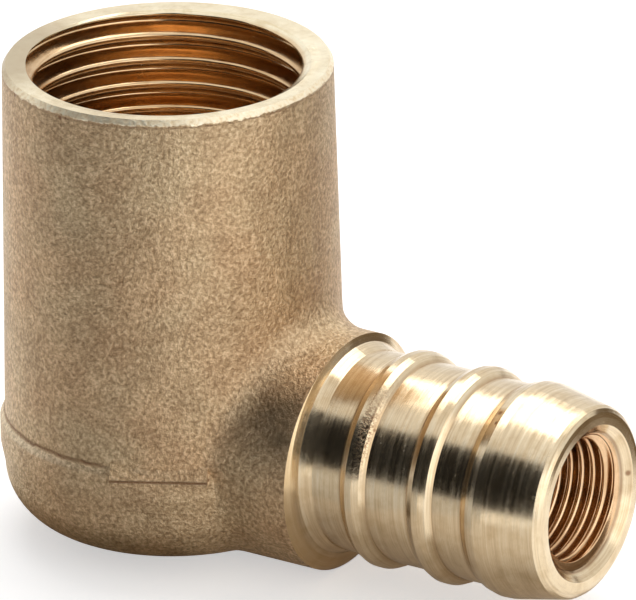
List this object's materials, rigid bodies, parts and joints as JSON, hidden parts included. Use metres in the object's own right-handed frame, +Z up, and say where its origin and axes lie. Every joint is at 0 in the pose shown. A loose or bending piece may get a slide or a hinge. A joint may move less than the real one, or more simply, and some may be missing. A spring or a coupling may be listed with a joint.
{
  "type": "hose barb elbow",
  "caption": "Forged brass elbow with a female pipe thread in an upright boss and a ribbed barb at right angles for a push-on hose.",
  "frame": {"origin": "centre of the flat foot under the boss, on the boss axis", "axes": "+Z up the boss axis out of the inlet, +X along the barb out of its mouth, the barb axis 9 mm above the foot"},
  "size_m": [0.0465, 0.0249, 0.0348],
  "materials": {
    "brass": "shot-blasted forging with turned faces"
  },
  "bodies": {
    "root": {"elbow_body": "brass"}
  },
  "joints": []
}
